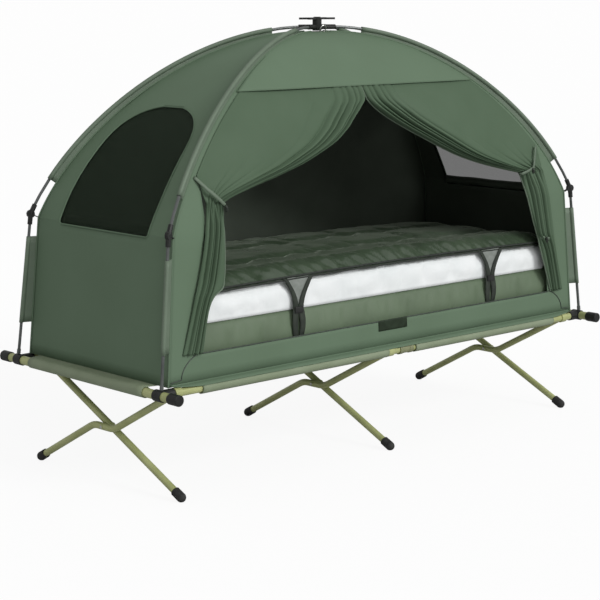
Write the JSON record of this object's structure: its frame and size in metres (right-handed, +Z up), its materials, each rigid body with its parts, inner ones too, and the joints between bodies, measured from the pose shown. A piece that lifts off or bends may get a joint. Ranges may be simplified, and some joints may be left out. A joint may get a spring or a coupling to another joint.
{
  "type": "tent cot",
  "caption": "Folding steel cot with crossed legs, carrying a dome tent with mesh end windows, tied-back door curtains, a mattress and a quilted sleeping bag.",
  "frame": {"origin": "on the floor, below the centre of the cot", "axes": "+X along the cot, to the right seen from the door side; +Y across it to the back, away from the door; +Z up"},
  "size_m": [1.9348, 0.882, 1.3895],
  "materials": {
    "olive_tube": "satin",
    "black_plastic": "matte",
    "black_rubber": "matte",
    "grey_pole": "satin",
    "deck_cloth": "matte",
    "tent_cloth": "matte",
    "window_mesh": "matte",
    "mattress_cloth": "matte",
    "white_pad_cloth": "matte",
    "quilted_nylon": "satin",
    "webbing": "matte"
  },
  "bodies": {
    "front_frame": {"front_rail_left": "olive_tube", "front_rail_right": "olive_tube", "front_rail_hinge_fitting": "black_plastic", "left_end_bar": "olive_tube", "right_end_bar": "olive_tube", "left_front_bar_cap": "black_plastic", "left_back_bar_cap": "black_plastic", "right_front_bar_cap": "black_plastic", "right_back_bar_cap": "black_plastic", "left_front_corner_collar": "black_plastic", "right_front_corner_collar": "black_plastic", "deck_cloth": "deck_cloth"},
    "back_rail": {"back_rail_left": "olive_tube", "back_rail_right": "olive_tube", "back_rail_hinge_fitting": "black_plastic", "left_back_corner_collar": "black_plastic", "right_back_corner_collar": "black_plastic"},
    "left_straight": {"left_straight_leg": "olive_tube", "left_straight_leg_foot": "black_rubber"},
    "left_cranked": {"left_cranked_leg": "olive_tube", "left_cranked_leg_foot": "black_rubber"},
    "middle_straight": {"middle_straight_leg": "olive_tube", "middle_straight_leg_foot": "black_rubber"},
    "middle_cranked": {"middle_cranked_leg": "olive_tube", "middle_cranked_leg_foot": "black_rubber"},
    "right_straight": {"right_straight_leg": "olive_tube", "right_straight_leg_foot": "black_rubber"},
    "right_cranked": {"right_cranked_leg": "olive_tube", "right_cranked_leg_foot": "black_rubber"},
    "tent": {"lower_pole_front_left": "grey_pole", "upper_pole_front_left": "grey_pole", "elbow_front_left": "black_plastic", "lower_pole_front_right": "grey_pole", "upper_pole_front_right": "grey_pole", "elbow_front_right": "black_plastic", "lower_pole_back_left": "grey_pole", "upper_pole_back_left": "grey_pole", "elbow_back_left": "black_plastic", "lower_pole_back_right": "grey_pole", "upper_pole_back_right": "grey_pole", "elbow_back_right": "black_plastic", "hub": "black_plastic", "canopy_front": "tent_cloth", "canopy_back": "tent_cloth", "canopy_left": "tent_cloth", "canopy_right": "tent_cloth", "door_rain_flap": "tent_cloth", "window_mesh_left": "window_mesh", "door_curtain_left": "tent_cloth", "curtain_tie_left": "webbing", "bed_strap_left": "webbing", "window_mesh_right": "window_mesh", "door_curtain_right": "tent_cloth", "curtain_tie_right": "webbing", "bed_strap_right": "webbing", "tent_floor": "deck_cloth", "mattress": "mattress_cloth", "white_pad": "white_pad_cloth", "sleeping_bag": "quilted_nylon"}
  },
  "joints": [
    {"name": "cot_fold", "type": "hinge", "parent": "front_frame", "child": "left_cranked", "pos_m": [-0.8885, -0.35, 0.3335], "axis": [-1, 0, 0], "range_deg": [0, 58], "deforming": ["deck_cloth"]},
    {"name": "left_straight_turn", "type": "hinge", "parent": "left_cranked", "child": "left_straight", "pos_m": [-0.876, 0, 0.17005], "axis": [-1, 0, 0], "range_deg": [-116, 0]},
    {"name": "back_rail_turn", "type": "hinge", "parent": "left_straight", "child": "back_rail", "pos_m": [-0.8635, 0.35, 0.3335], "axis": [-1, 0, 0], "range_deg": [0, 58]},
    {"name": "middle_cranked_turn", "type": "hinge", "parent": "front_frame", "child": "middle_cranked", "pos_m": [-0.0125, -0.35, 0.3335], "axis": [-1, 0, 0], "range_deg": [0, 58]},
    {"name": "middle_straight_turn", "type": "hinge", "parent": "middle_cranked", "child": "middle_straight", "pos_m": [0, 0, 0.17005], "axis": [-1, 0, 0], "range_deg": [-116, 0]},
    {"name": "right_cranked_turn", "type": "hinge", "parent": "front_frame", "child": "right_cranked", "pos_m": [0.8635, -0.35, 0.3335], "axis": [-1, 0, 0], "range_deg": [0, 58]},
    {"name": "right_straight_turn", "type": "hinge", "parent": "right_cranked", "child": "right_straight", "pos_m": [0.876, 0, 0.17005], "axis": [-1, 0, 0], "range_deg": [-116, 0]},
    {"name": "tent_lift", "type": "slide", "parent": "front_frame", "child": "tent", "axis": [0, 0, 1], "range_m": [0, 0.3]}
  ],
  "couplings": [
    {"joint": "left_straight_turn", "follows": "cot_fold", "ratio": -2},
    {"joint": "back_rail_turn", "follows": "cot_fold", "ratio": 1},
    {"joint": "middle_cranked_turn", "follows": "cot_fold", "ratio": 1},
    {"joint": "middle_straight_turn", "follows": "cot_fold", "ratio": -2},
    {"joint": "right_cranked_turn", "follows": "cot_fold", "ratio": 1},
    {"joint": "right_straight_turn", "follows": "cot_fold", "ratio": -2}
  ]
}
